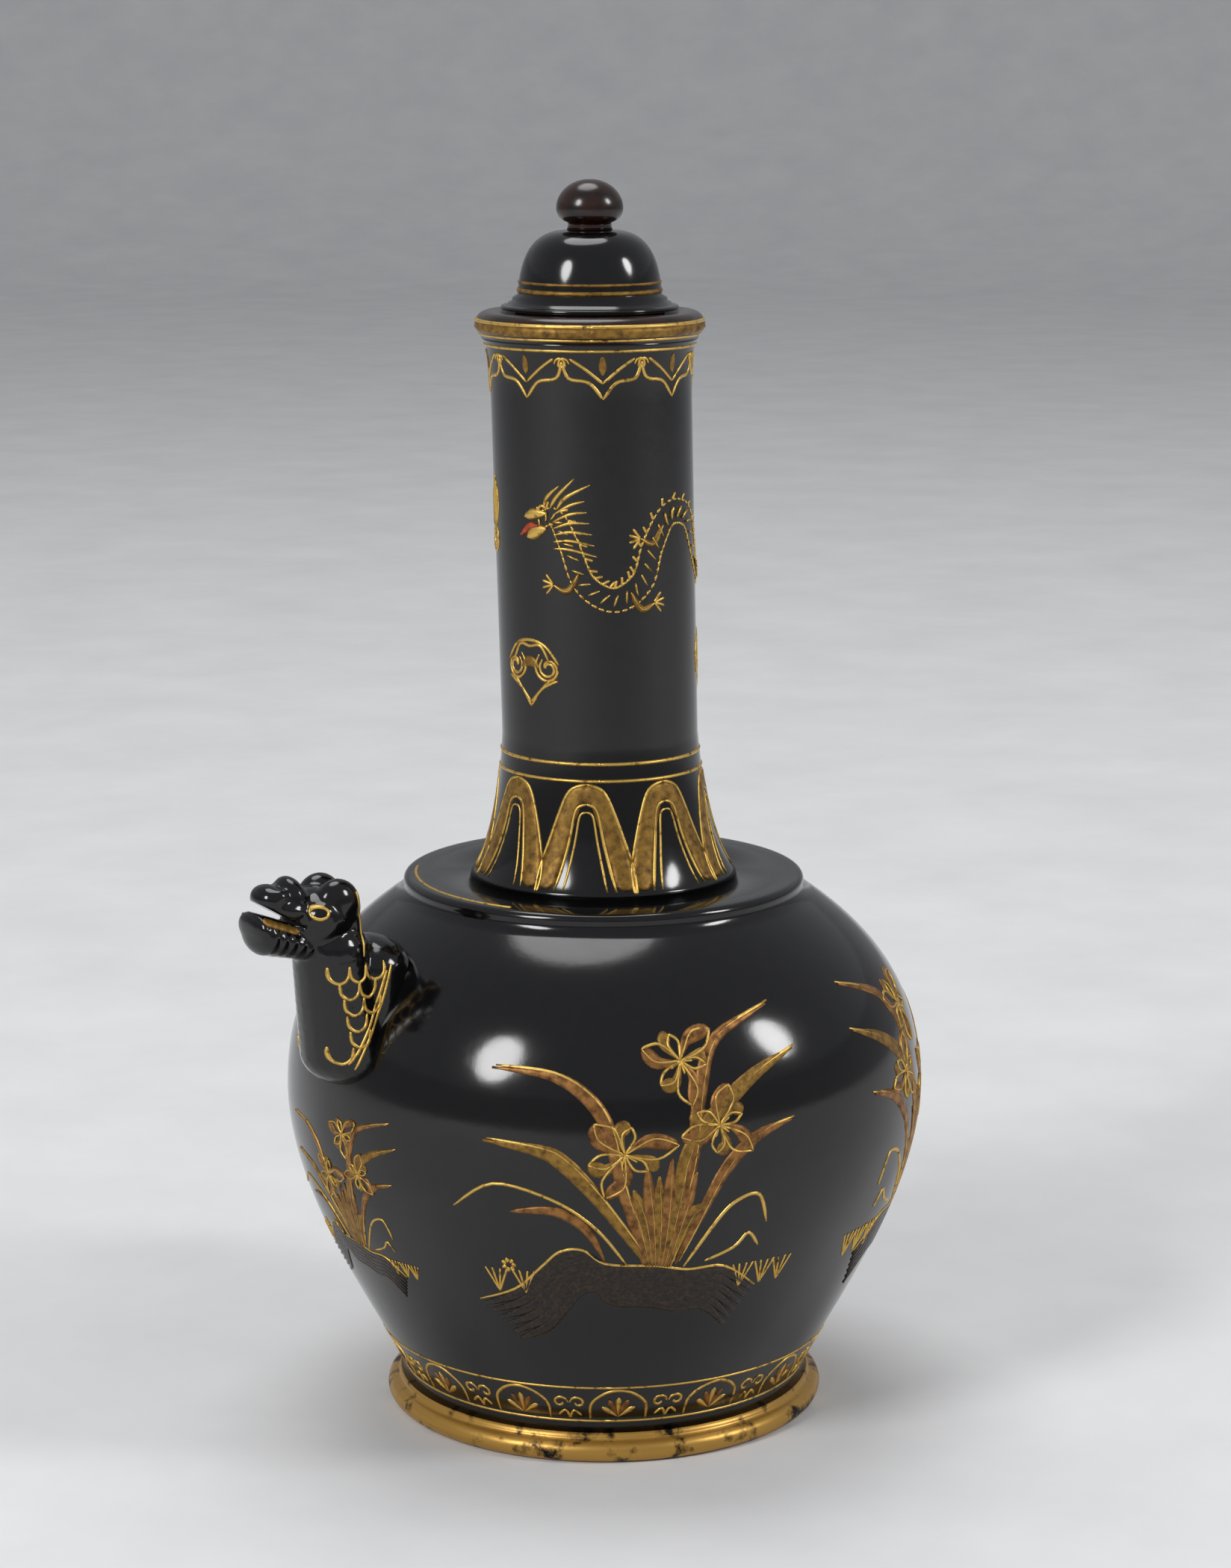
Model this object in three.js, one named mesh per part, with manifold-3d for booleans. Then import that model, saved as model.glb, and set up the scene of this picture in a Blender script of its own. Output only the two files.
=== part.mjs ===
// A small black-glazed stoneware wine ewer with a creature-head spout and a lift-off lid.
// Millimetres, +Z up, origin at the centre of the foot on the table, spout toward -X.
import * as THREE from 'three';
import { mergeVertices } from 'three/addons/utils/BufferGeometryUtils.js';
import Module from 'manifold-3d';

const wasm = await Module();
wasm.setup();

// Driving dimensions: foot and belly
const ROUND_STEPS = 40;
const CURVE_STEPS = 8;
const FOOT_RADIUS = 30.9;
const FOOT_HEIGHT = 3.9;
const FOOT_EDGE = 0.9;
const FOOT_RING_BORE = 26;
const BASE_RECESS = 0.8;
const BASE_FIT = 0.4;
const WAIST_RADIUS = 28.4;
const WAIST_Z = 5.2;
const BELLY_RADIUS = 44.8;
const BELLY_WIDEST_Z = 46;
const SHOULDER_Z = 76;
const LEDGE_RADIUS = 27.9;
const LEDGE_DEPTH = 2;
const WALL = 3;

// Driving dimensions: neck, lip and lid
const NECK_RADIUS = 13.55;
const NECK_FOOT_RADIUS = 18.5;
const NECK_FLARE_HEIGHT = 20;
const NECK_TOP_Z = 150.5;
const NECK_TOP_RADIUS = 14.8;
const NECK_LEAN_DEGREES = 1.7;
const BORE_RADIUS = 10.9;
const LIP_RADIUS = 15.6;
const LIP_HEIGHT = 3.5;
const LID_GAP = 0.2;
const LID_FLANGE_RADIUS = 12.1;
const LID_FLANGE_HEIGHT = 0.5;
const DOME_RADIUS = 9.8;
const DOME_HEIGHT = 8.6;
const DOME_FOOT_HEIGHT = 2;
const LID_WALL = 2;
const KNOP_STEM_RADIUS = 3;
const KNOP_STEM_HEIGHT = 1.2;
const KNOP_RADIUS = 4.3;
const KNOP_HEIGHT = 5.6;
const BEZEL_CLEARANCE = 0.8;
const BEZEL_WALL = 1.8;
const BEZEL_DEPTH = 6.5;

// Driving dimensions: spout, with reach measured out from the vessel's axis
const SEAM_GAP = 0.3;
const SPOUT_WIDTH = 13;
const SPOUT_ROUNDING = 3.4;
const SPOUT_EDGE_ROUNDING = 1.2;
const SPOUT_SPLIT_Z = 71;
const SNOUT_TAPER_START = 46;
const SNOUT_TIP_REACH = 57.3;
const SNOUT_TIP_NARROWING = 0.2;
const CHANNEL_RADIUS = 3.1;
const CHANNEL_REACH = 45.3;
const CHANNEL_BEND_Z = 62;
const CHANNEL_INLET_REACH = 33;
const BEAK_BORE_Z = 76.2;
const EYE_REACH = 46;
const EYE_Z = 77.6;
const EYE_RADIUS = 1.9;
const EYE_RIM = 0.45;

const LIP_TOP_Z = NECK_TOP_Z + LIP_HEIGHT;
const LID_BASE_Z = LIP_TOP_Z + LID_GAP;
const LEAN = Math.tan(THREE.MathUtils.degToRad(NECK_LEAN_DEGREES));
const MOUTH_SHIFT = -LEAN * (NECK_TOP_Z - SHOULDER_Z);

const point = (radius, z) => new THREE.Vector2(radius, z);

// Clean a geometry to merged positions, with no thin leftovers and its faces outward
function closed(source) {
  const bare = source.clone();
  for (const name of ['normal', 'uv', 'color']) bare.deleteAttribute(name);
  bare.clearGroups();
  const merged = mergeVertices(bare, 1e-4);
  const index = merged.index.array;
  const kept = [];
  for (let i = 0; i < index.length; i += 3) {
    const [a, b, c] = [index[i], index[i + 1], index[i + 2]];
    if (a !== b && b !== c && c !== a) kept.push(a, b, c);
  }
  merged.setIndex(kept);
  const position = merged.attributes.position;
  const corner = [new THREE.Vector3(), new THREE.Vector3(), new THREE.Vector3()];
  let volume = 0;
  for (let i = 0; i < kept.length; i += 3) {
    corner.forEach((v, k) => v.fromBufferAttribute(position, kept[i + k]));
    volume += corner[0].dot(corner[1].clone().cross(corner[2]));
  }
  if (volume < 0) kept.reverse();
  merged.setIndex(kept);
  return merged;
}

// A closed geometry as a solid for joining and cutting
function solid(source) {
  const geometry = closed(source);
  return new wasm.Manifold(new wasm.Mesh({
    numProp: 3,
    vertProperties: new Float32Array(geometry.attributes.position.array),
    triVerts: new Uint32Array(geometry.index.array),
  }));
}

// A solid back as a geometry
function geometryOf(body) {
  const mesh = body.getMesh();
  const geometry = new THREE.BufferGeometry();
  geometry.setAttribute('position', new THREE.BufferAttribute(new Float32Array(mesh.vertProperties), 3));
  geometry.setIndex([...mesh.triVerts]);
  return geometry;
}

// A profile of radius and height turned round the vertical axis
function turned(profile) {
  return new THREE.LatheGeometry(profile, ROUND_STEPS).rotateX(Math.PI / 2);
}

// A smooth stretch of profile between two points
function curve(from, pull, push, to, steps = CURVE_STEPS) {
  return new THREE.CubicBezierCurve(from, pull, push, to).getPoints(steps);
}

// The belly's outside, from the waist over the widest round to the ledge, grown by an offset
function bellyOutline(grow) {
  const rise = BELLY_WIDEST_Z - WAIST_Z;
  const fall = SHOULDER_Z - LEDGE_DEPTH - BELLY_WIDEST_Z;
  const lower = curve(
    point(WAIST_RADIUS, WAIST_Z),
    point(WAIST_RADIUS + 3.6, WAIST_Z + rise * 0.19),
    point(BELLY_RADIUS, BELLY_WIDEST_Z - rise * 0.37),
    point(BELLY_RADIUS, BELLY_WIDEST_Z),
  );
  const upper = curve(
    point(BELLY_RADIUS, BELLY_WIDEST_Z),
    point(BELLY_RADIUS, BELLY_WIDEST_Z + fall * 0.43),
    point(LEDGE_RADIUS + 11.8, BELLY_WIDEST_Z + fall * 0.72),
    point(LEDGE_RADIUS, SHOULDER_Z - LEDGE_DEPTH),
  );
  const line = [...lower, ...upper.slice(1)];
  return line.map((p, i) => {
    const before = line[Math.max(i - 1, 0)];
    const after = line[Math.min(i + 1, line.length - 1)];
    const along = after.clone().sub(before).normalize();
    return point(p.x + along.y * grow, p.y - along.x * grow);
  });
}

// The spout's side outline, written as reach and height, from the belly up round the head
function spoutShape() {
  const outline = new THREE.Shape();
  const at = (reach, z) => [-reach, z];
  outline.moveTo(...at(30, 51));
  outline.lineTo(...at(43.4, 51));
  outline.quadraticCurveTo(...at(48.6, 54), ...at(49, 58.7));
  outline.lineTo(...at(49.7, 68.9));
  outline.quadraticCurveTo(...at(50.2, 71.8), ...at(53.4, 71.9));
  outline.quadraticCurveTo(...at(56.6, 70.6), ...at(57.3, 76.3));
  outline.quadraticCurveTo(...at(57.6, 79.4), ...at(55.6, 80.9));
  outline.quadraticCurveTo(...at(54, 81.4), ...at(52.8, 80.6));
  outline.quadraticCurveTo(...at(51, 83.4), ...at(48.4, 79.7));
  outline.quadraticCurveTo(...at(45, 83.4), ...at(41.6, 79));
  outline.quadraticCurveTo(...at(41.1, 76), ...at(41.3, 72.9));
  outline.quadraticCurveTo(...at(40.6, 70.4), ...at(37, 69.4));
  outline.lineTo(...at(28, 69.4));
  outline.closePath();
  return outline;
}

// The whole spout as a softly rounded press-moulded form, narrower toward the beak
function spoutBody() {
  const form = new THREE.ExtrudeGeometry(spoutShape(), {
    depth: SPOUT_WIDTH - 2 * SPOUT_ROUNDING,
    curveSegments: 5,
    bevelEnabled: true,
    bevelThickness: SPOUT_ROUNDING,
    bevelSize: SPOUT_EDGE_ROUNDING,
    bevelOffset: -SPOUT_EDGE_ROUNDING,
    bevelSegments: 3,
  });
  form.translate(0, 0, -(SPOUT_WIDTH / 2 - SPOUT_ROUNDING));
  form.rotateX(Math.PI / 2);
  const position = form.attributes.position;
  for (let i = 0; i < position.count; i += 1) {
    const reach = -position.getX(i);
    const along = THREE.MathUtils.smoothstep(reach, SNOUT_TAPER_START, SNOUT_TIP_REACH);
    position.setY(i, position.getY(i) * (1 - SNOUT_TIP_NARROWING * along));
  }
  return solid(form);
}

// A round rod between two points, for bores
function rod(from, to, radius) {
  const length = from.distanceTo(to);
  const cylinder = new THREE.CylinderGeometry(radius, radius, length, 20);
  const turn = new THREE.Quaternion().setFromUnitVectors(
    new THREE.Vector3(0, 1, 0),
    to.clone().sub(from).normalize(),
  );
  cylinder.applyQuaternion(turn);
  cylinder.translate(...from.clone().add(to).multiplyScalar(0.5).toArray());
  return solid(cylinder);
}

// The pouring channel: out through the wall, up the throat, then out through the beak
function channel() {
  const inlet = new THREE.Vector3(-CHANNEL_INLET_REACH, 0, CHANNEL_BEND_Z);
  const bend = new THREE.Vector3(-CHANNEL_REACH, 0, CHANNEL_BEND_Z);
  const crown = new THREE.Vector3(-CHANNEL_REACH, 0, BEAK_BORE_Z);
  const beyond = new THREE.Vector3(-SNOUT_TIP_REACH - 5, 0, BEAK_BORE_Z);
  const elbow = new THREE.SphereGeometry(CHANNEL_RADIUS, 20, 12);
  return rod(inlet, bend, CHANNEL_RADIUS)
    .add(solid(elbow.clone().translate(...bend.toArray())))
    .add(rod(bend, crown, CHANNEL_RADIUS))
    .add(solid(elbow.clone().translate(...crown.toArray())))
    .add(rod(crown, beyond, CHANNEL_RADIUS));
}

// The open mouth between the jaws, a wedge through the whole snout
function jawGap() {
  const wedge = new THREE.Shape();
  wedge.moveTo(-50.6, 75.7);
  wedge.lineTo(-SNOUT_TIP_REACH - 3, 77.5);
  wedge.lineTo(-SNOUT_TIP_REACH - 3, 79.9);
  wedge.closePath();
  const cut = new THREE.ExtrudeGeometry(wedge, { depth: SPOUT_WIDTH * 2, bevelEnabled: false });
  cut.translate(0, 0, -SPOUT_WIDTH);
  return solid(cut.rotateX(Math.PI / 2));
}

// A raised ring with a domed pupil on each cheek
function eyes() {
  const rim = new THREE.TorusGeometry(EYE_RADIUS, EYE_RIM, 8, 24).rotateX(Math.PI / 2);
  const pupil = new THREE.SphereGeometry(EYE_RADIUS * 0.62, 16, 10).scale(1, 0.7, 1);
  const cheek = SPOUT_WIDTH / 2;
  return [-cheek, cheek].flatMap((side) => [rim, pupil].map(
    (form) => solid(form.clone().translate(-EYE_REACH, side, EYE_Z)),
  ));
}

// A block above or below a height, for parting the spout into its two mouldings
function slab(low, high) {
  const block = new THREE.BoxGeometry(200, 200, high - low);
  return solid(block.translate(0, 0, (low + high) / 2));
}

const bellyGrown = turned([
  point(0, BASE_RECESS),
  ...bellyOutline(SEAM_GAP),
  point(LEDGE_RADIUS + SEAM_GAP, SHOULDER_Z + SEAM_GAP),
  point(0, SHOULDER_Z + SEAM_GAP),
]);

const materials = {
  glaze: { color: 0x0b0a0c, roughness: 0.12, metalness: 0 },
  gilt: { color: 0xb8923f, roughness: 0.35, metalness: 0.8 },
  brownGlaze: { color: 0x3a1d12, roughness: 0.25, metalness: 0 },
};

const ewer = new THREE.Group();

function piece(name, geometry, finish) {
  const mesh = new THREE.Mesh(closed(geometry), new THREE.MeshStandardMaterial(materials[finish]));
  mesh.name = name;
  ewer.add(mesh);
  return mesh;
}

// Foot ring: a rolled band that the vessel stands on
function footRing() {
  return turned([
    point(FOOT_RING_BORE, 0),
    point(FOOT_RADIUS - FOOT_EDGE, 0),
    point(FOOT_RADIUS, FOOT_EDGE),
    point(FOOT_RADIUS, FOOT_HEIGHT - 2 * FOOT_EDGE),
    point(FOOT_RADIUS - FOOT_EDGE, FOOT_HEIGHT - 0.4),
    point(WAIST_RADIUS + 0.8, FOOT_HEIGHT),
    point(FOOT_RING_BORE, FOOT_HEIGHT),
    point(FOOT_RING_BORE, 0),
  ]);
}

// Belly: base, round wall, shoulder ledge and the hollow, with the spout's hole in its wall
function belly() {
  const inside = bellyOutline(-WALL).filter((p) => p.y > WAIST_Z + 1 && p.y < SHOULDER_Z - WALL - 1);
  const floor = BASE_RECESS + WALL + 0.4;
  return turned([
    point(0, BASE_RECESS),
    point(FOOT_RING_BORE - BASE_FIT, BASE_RECESS),
    point(FOOT_RING_BORE - BASE_FIT, FOOT_HEIGHT),
    point(WAIST_RADIUS + 0.6, FOOT_HEIGHT),
    ...bellyOutline(0),
    point(LEDGE_RADIUS + 0.2, SHOULDER_Z - LEDGE_DEPTH / 2),
    point(LEDGE_RADIUS - 0.7, SHOULDER_Z),
    point(BORE_RADIUS, SHOULDER_Z),
    point(BORE_RADIUS, SHOULDER_Z - WALL),
    ...inside.reverse(),
    point(WAIST_RADIUS - WALL - 2, floor),
    point(0, floor),
  ]);
}

// Neck: a tall tube flaring onto the ledge and at the mouth, leaning a little to the spout
function neck() {
  const flare = curve(
    point(NECK_FOOT_RADIUS, SHOULDER_Z),
    point(NECK_RADIUS + 1.6, SHOULDER_Z + NECK_FLARE_HEIGHT * 0.2),
    point(NECK_RADIUS + 0.4, SHOULDER_Z + NECK_FLARE_HEIGHT * 0.7),
    point(NECK_RADIUS, SHOULDER_Z + NECK_FLARE_HEIGHT),
  );
  const mouth = curve(
    point(NECK_RADIUS + 0.15, NECK_TOP_Z - 8),
    point(NECK_RADIUS + 0.2, NECK_TOP_Z - 3),
    point(NECK_RADIUS + 0.5, NECK_TOP_Z - 1),
    point(NECK_TOP_RADIUS, NECK_TOP_Z),
    5,
  );
  const tube = turned([
    point(BORE_RADIUS, SHOULDER_Z),
    ...flare,
    ...mouth,
    point(BORE_RADIUS, NECK_TOP_Z),
    point(BORE_RADIUS, SHOULDER_Z),
  ]);
  const position = tube.attributes.position;
  for (let i = 0; i < position.count; i += 1) {
    position.setX(i, position.getX(i) - LEAN * (position.getZ(i) - SHOULDER_Z));
  }
  return tube;
}

// Mouth lip: the rolled rim that the lid sits on
function mouthLip() {
  return turned([
    point(BORE_RADIUS, NECK_TOP_Z),
    point(NECK_TOP_RADIUS, NECK_TOP_Z),
    point(LIP_RADIUS - 0.2, NECK_TOP_Z + LIP_HEIGHT * 0.3),
    point(LIP_RADIUS, NECK_TOP_Z + LIP_HEIGHT * 0.55),
    point(LIP_RADIUS - 0.4, LIP_TOP_Z - 0.5),
    point(LIP_RADIUS - 1.4, LIP_TOP_Z),
    point(BORE_RADIUS, LIP_TOP_Z),
    point(BORE_RADIUS, NECK_TOP_Z),
  ]).translate(MOUTH_SHIFT, 0, 0);
}

// Lid: a stepped flange under a hollow dome, flat on top where the knop is luted on
function lidCover() {
  const domeBase = LID_BASE_Z + DOME_FOOT_HEIGHT;
  const domeTop = domeBase + DOME_HEIGHT;
  const dome = (shrink) => curve(
    point(DOME_RADIUS - shrink, domeBase),
    point(DOME_RADIUS - shrink - 0.3, domeBase + DOME_HEIGHT * 0.55),
    point((DOME_RADIUS - shrink) * 0.82, domeTop - shrink),
    point(KNOP_STEM_RADIUS + 0.2, domeTop - shrink),
  );
  return turned([
    point(DOME_RADIUS - LID_WALL, LID_BASE_Z),
    point(LID_FLANGE_RADIUS, LID_BASE_Z),
    point(LID_FLANGE_RADIUS, LID_BASE_Z + LID_FLANGE_HEIGHT),
    point(LID_FLANGE_RADIUS - 0.8, LID_BASE_Z + LID_FLANGE_HEIGHT + 0.4),
    point(DOME_RADIUS + 0.9, LID_BASE_Z + LID_FLANGE_HEIGHT + 0.6),
    point(DOME_RADIUS + 0.7, domeBase - 0.4),
    ...dome(0),
    point(0, domeTop),
    point(0, domeTop - LID_WALL),
    ...dome(LID_WALL).reverse(),
    point(DOME_RADIUS - LID_WALL, LID_BASE_Z),
  ]).translate(MOUTH_SHIFT, 0, 0);
}

// Bezel: the short tube under the lid that keeps it centred in the neck
function lidBezel() {
  const outside = BORE_RADIUS - BEZEL_CLEARANCE;
  return turned([
    point(outside - BEZEL_WALL, LID_BASE_Z - BEZEL_DEPTH),
    point(outside - 0.5, LID_BASE_Z - BEZEL_DEPTH),
    point(outside, LID_BASE_Z - BEZEL_DEPTH + 0.8),
    point(outside, LID_BASE_Z),
    point(outside - BEZEL_WALL, LID_BASE_Z),
    point(outside - BEZEL_WALL, LID_BASE_Z - BEZEL_DEPTH),
  ]).translate(MOUTH_SHIFT, 0, 0);
}

// Knop: a short stem under a round bud
function lidKnop() {
  const foot = LID_BASE_Z + DOME_FOOT_HEIGHT + DOME_HEIGHT;
  const under = foot + KNOP_STEM_HEIGHT;
  const top = under + KNOP_HEIGHT;
  const bud = curve(
    point(KNOP_STEM_RADIUS, under),
    point(KNOP_RADIUS * 1.35, under + KNOP_HEIGHT * 0.3),
    point(KNOP_RADIUS * 0.85, top),
    point(0, top),
  );
  return turned([
    point(0, foot),
    point(KNOP_STEM_RADIUS, foot),
    ...bud,
  ]).translate(MOUTH_SHIFT, 0, 0);
}

const pouringChannel = channel();
const spout = spoutBody().subtract(solid(bellyGrown)).subtract(pouringChannel);
const throat = spout.subtract(slab(SPOUT_SPLIT_Z, SPOUT_SPLIT_Z + 60));
const head = eyes()
  .reduce((body, eye) => body.add(eye), spout.subtract(slab(SPOUT_SPLIT_Z - 60, SPOUT_SPLIT_Z)))
  .subtract(jawGap());

piece('foot_ring', footRing(), 'gilt');
piece('belly', geometryOf(solid(belly()).subtract(pouringChannel)), 'glaze');
piece('neck', neck(), 'glaze');
piece('mouth_lip', mouthLip(), 'brownGlaze');
piece('spout_throat', geometryOf(throat), 'glaze');
piece('spout_head', geometryOf(head), 'glaze');
piece('lid_cover', lidCover(), 'glaze');
piece('lid_bezel', lidBezel(), 'brownGlaze');
piece('lid_knop', lidKnop(), 'glaze');

export default ewer;
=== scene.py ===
# %% [markdown]
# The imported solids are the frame: every piece below is fitted to them, in metres. The ewer is black-glazed
# stoneware with brushed gilding, so the steps are smooth turned walls, a moulded head, then raised gold.

# %% Load the frame
import math
import bmesh
import bpy
from mathutils import Matrix, Vector
from mathutils.bvhtree import BVHTree


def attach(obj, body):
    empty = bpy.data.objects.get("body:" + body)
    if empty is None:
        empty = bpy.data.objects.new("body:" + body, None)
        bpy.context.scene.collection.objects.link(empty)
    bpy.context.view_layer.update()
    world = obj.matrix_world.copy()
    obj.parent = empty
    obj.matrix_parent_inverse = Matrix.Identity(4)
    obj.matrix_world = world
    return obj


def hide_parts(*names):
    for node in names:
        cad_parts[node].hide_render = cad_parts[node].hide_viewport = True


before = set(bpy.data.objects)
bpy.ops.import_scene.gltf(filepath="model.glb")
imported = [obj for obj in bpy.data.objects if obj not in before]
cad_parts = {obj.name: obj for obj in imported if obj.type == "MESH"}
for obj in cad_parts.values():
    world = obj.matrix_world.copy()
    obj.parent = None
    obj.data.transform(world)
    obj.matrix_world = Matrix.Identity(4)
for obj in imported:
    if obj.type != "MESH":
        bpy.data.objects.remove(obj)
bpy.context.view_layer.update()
MM = 0.001
print("nodes", sorted(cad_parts))

# %% Sizes in millimetres, the same as the solids have
FOOT_RADIUS, FOOT_HEIGHT, FOOT_BORE = 30.9, 3.9, 26.0
WAIST_RADIUS, WAIST_Z = 28.4, 5.2
GILDING_ROOM = 0.25  # the dressed belly lies this far under the solid's, so its raised gold stays inside
BELLY_RADIUS, BELLY_WIDEST_Z = 44.8 - GILDING_ROOM, 46.0
LEDGE_RADIUS, LEDGE_DEPTH, SHOULDER_Z = 27.9, 2.0, 76.0
NECK_RADIUS, NECK_FOOT_RADIUS, NECK_FLARE = 13.55, 18.5, 20.0
NECK_TOP_Z, NECK_TOP_RADIUS, BORE_RADIUS = 150.5, 14.8, 10.9
LIP_RADIUS, LIP_TOP_Z = 15.6, 154.0
WALL = 3.0
LEAN = math.tan(math.radians(1.7))
MOUTH_SHIFT = -LEAN * (NECK_TOP_Z - SHOULDER_Z)
VIEW_AZIMUTH = math.radians(-35)
SPOUT_ANGLE = -55.0


def bezier(a, b, c, d, steps=24):
    points = []
    for i in range(steps + 1):
        t = i / steps
        weights = ((1 - t) ** 3, 3 * t * (1 - t) ** 2, 3 * t * t * (1 - t), t ** 3)
        points.append(tuple(sum(w * p[k] for w, p in zip(weights, (a, b, c, d))) for k in (0, 1)))
    return points


RISE = BELLY_WIDEST_Z - WAIST_Z
FALL = SHOULDER_Z - LEDGE_DEPTH - BELLY_WIDEST_Z
belly_line = bezier((WAIST_RADIUS, WAIST_Z), (WAIST_RADIUS + 3.6, WAIST_Z + RISE * 0.19),
                    (BELLY_RADIUS, BELLY_WIDEST_Z - RISE * 0.37), (BELLY_RADIUS, BELLY_WIDEST_Z))
belly_line += bezier((BELLY_RADIUS, BELLY_WIDEST_Z), (BELLY_RADIUS, BELLY_WIDEST_Z + FALL * 0.43),
                     (LEDGE_RADIUS + 11.8, BELLY_WIDEST_Z + FALL * 0.72),
                     (LEDGE_RADIUS, SHOULDER_Z - LEDGE_DEPTH))[1:]
neck_line = bezier((NECK_FOOT_RADIUS, SHOULDER_Z), (NECK_RADIUS + 1.6, SHOULDER_Z + NECK_FLARE * 0.2),
                   (NECK_RADIUS + 0.4, SHOULDER_Z + NECK_FLARE * 0.7),
                   (NECK_RADIUS, SHOULDER_Z + NECK_FLARE))
neck_line += bezier((NECK_RADIUS + 0.15, NECK_TOP_Z - 8), (NECK_RADIUS + 0.2, NECK_TOP_Z - 3),
                    (NECK_RADIUS + 0.5, NECK_TOP_Z - 1), (NECK_TOP_RADIUS, NECK_TOP_Z), 10)


def radius_at(line, z):
    for (r0, z0), (r1, z1) in zip(line, line[1:]):
        if z0 <= z <= z1:
            return r0 + (r1 - r0) * (z - z0) / max(z1 - z0, 1e-9)
    return line[0][0] if z < line[0][1] else line[-1][0]


# %% [markdown]
# Glaze is glass over clay: nearly black, very smooth, red-brown where it runs thin. A mix of noise gives the
# faint mottling and small specks. The gold is fired on, so it is a metal with a rough, worn and flaked edge.

# %% Materials
def linear(code):
    parts = [int(code[i:i + 2], 16) / 255 for i in (1, 3, 5)]
    return tuple(p / 12.92 if p <= 0.04045 else ((p + 0.055) / 1.055) ** 2.4 for p in parts) + (1.0,)


def add_node(tree, kind, settings=None, links=None, values=None):
    node = tree.nodes.new(kind)
    for name, value in (settings or {}).items():
        setattr(node, name, value)
    for name, value in (values or {}).items():
        node.inputs[name].default_value = value
    for name, source in (links or {}).items():
        tree.links.new(source, node.inputs[name])
    return node


def finish(name, dark, light, grain_mm, low, high, roughness, metallic, bump, rough_spread=0.0):
    """A surface that goes from one colour to another by noise of a real grain size."""
    material = bpy.data.materials.new(name)
    material.use_nodes = True
    tree = material.node_tree
    shader = tree.nodes["Principled BSDF"]
    shader.inputs["Metallic"].default_value = metallic
    place = add_node(tree, "ShaderNodeTexCoord")
    noise = add_node(tree, "ShaderNodeTexNoise", links={"Vector": place.outputs["Object"]},
                     values={"Scale": 1 / (grain_mm * MM), "Detail": 6.0, "Roughness": 0.6})
    ramp = add_node(tree, "ShaderNodeValToRGB", links={"Fac": noise.outputs["Fac"]})
    ramp.color_ramp.elements[0].position = low
    ramp.color_ramp.elements[0].color = linear(dark)
    ramp.color_ramp.elements[1].position = high
    ramp.color_ramp.elements[1].color = linear(light)
    tree.links.new(ramp.outputs["Color"], shader.inputs["Base Color"])
    span = add_node(tree, "ShaderNodeMapRange", links={"Value": noise.outputs["Fac"]},
                    values={"To Min": roughness + rough_spread, "To Max": roughness})
    tree.links.new(span.outputs["Result"], shader.inputs["Roughness"])
    height = add_node(tree, "ShaderNodeBump", links={"Height": noise.outputs["Fac"]},
                      values={"Strength": bump, "Distance": 0.0002})
    tree.links.new(height.outputs["Normal"], shader.inputs["Normal"])
    print("finish", name)
    return material


black_glaze = finish("black_glaze", "#040405", "#0C0B0D", 2.2, 0.3, 0.8, 0.09, 0.0, 0.05, 0.07)
thin_glaze = finish("brown_thin_glaze", "#0A0504", "#2C140B", 3.0, 0.35, 0.65, 0.16, 0.0, 0.15, 0.1)
gold = finish("fired_gold_line", "#5E4218", "#D8B25C", 1.1, 0.3, 0.46, 0.3, 0.85, 0.3, 0.2)
copper_gold = finish("copper_gold_fill", "#45280F", "#9A6C3A", 1.4, 0.3, 0.6, 0.38, 0.7, 0.3, 0.2)
brown_gold = finish("brown_gold_fill", "#4A3213", "#94702E", 1.2, 0.3, 0.6, 0.42, 0.6, 0.3, 0.2)
mound_brown = finish("dusted_brown_mound", "#0D0805", "#3C2912", 0.5, 0.42, 0.72, 0.3, 0.2, 0.2, 0.1)
iron_red = finish("iron_red_touch", "#6A1E0A", "#B5461C", 1.0, 0.3, 0.6, 0.4, 0.0, 0.2, 0.1)
worn_gold = finish("worn_foot_gold", "#0B0907", "#B98F45", 3.6, 0.36, 0.47, 0.3, 0.7, 0.25, 0.15)
bare_clay = finish("bare_red_stoneware", "#4A2416", "#7A4028", 0.6, 0.3, 0.7, 0.75, 0.0, 0.5, 0.1)

# %% [markdown]
# Thrown walls are surfaces of revolution. Spinning one closed section gives the outside, the rim and the
# inside together, smoother than the frame's facets, so these pieces replace those nodes.

# %% Turned pieces
SPIN_STEPS = 144


def keep(bm, name, materials, body, replaces=(), smooth=True):
    mesh = bpy.data.meshes.new(name)
    bm.to_mesh(mesh)
    bm.free()
    for polygon in mesh.polygons:
        polygon.use_smooth = smooth
    piece = bpy.data.objects.new(name, mesh)
    bpy.context.scene.collection.objects.link(piece)
    for material in materials:
        mesh.materials.append(material)
    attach(piece, body)
    if replaces:
        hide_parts(*replaces)
    print(name, len(mesh.polygons), "faces")
    return piece


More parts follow.
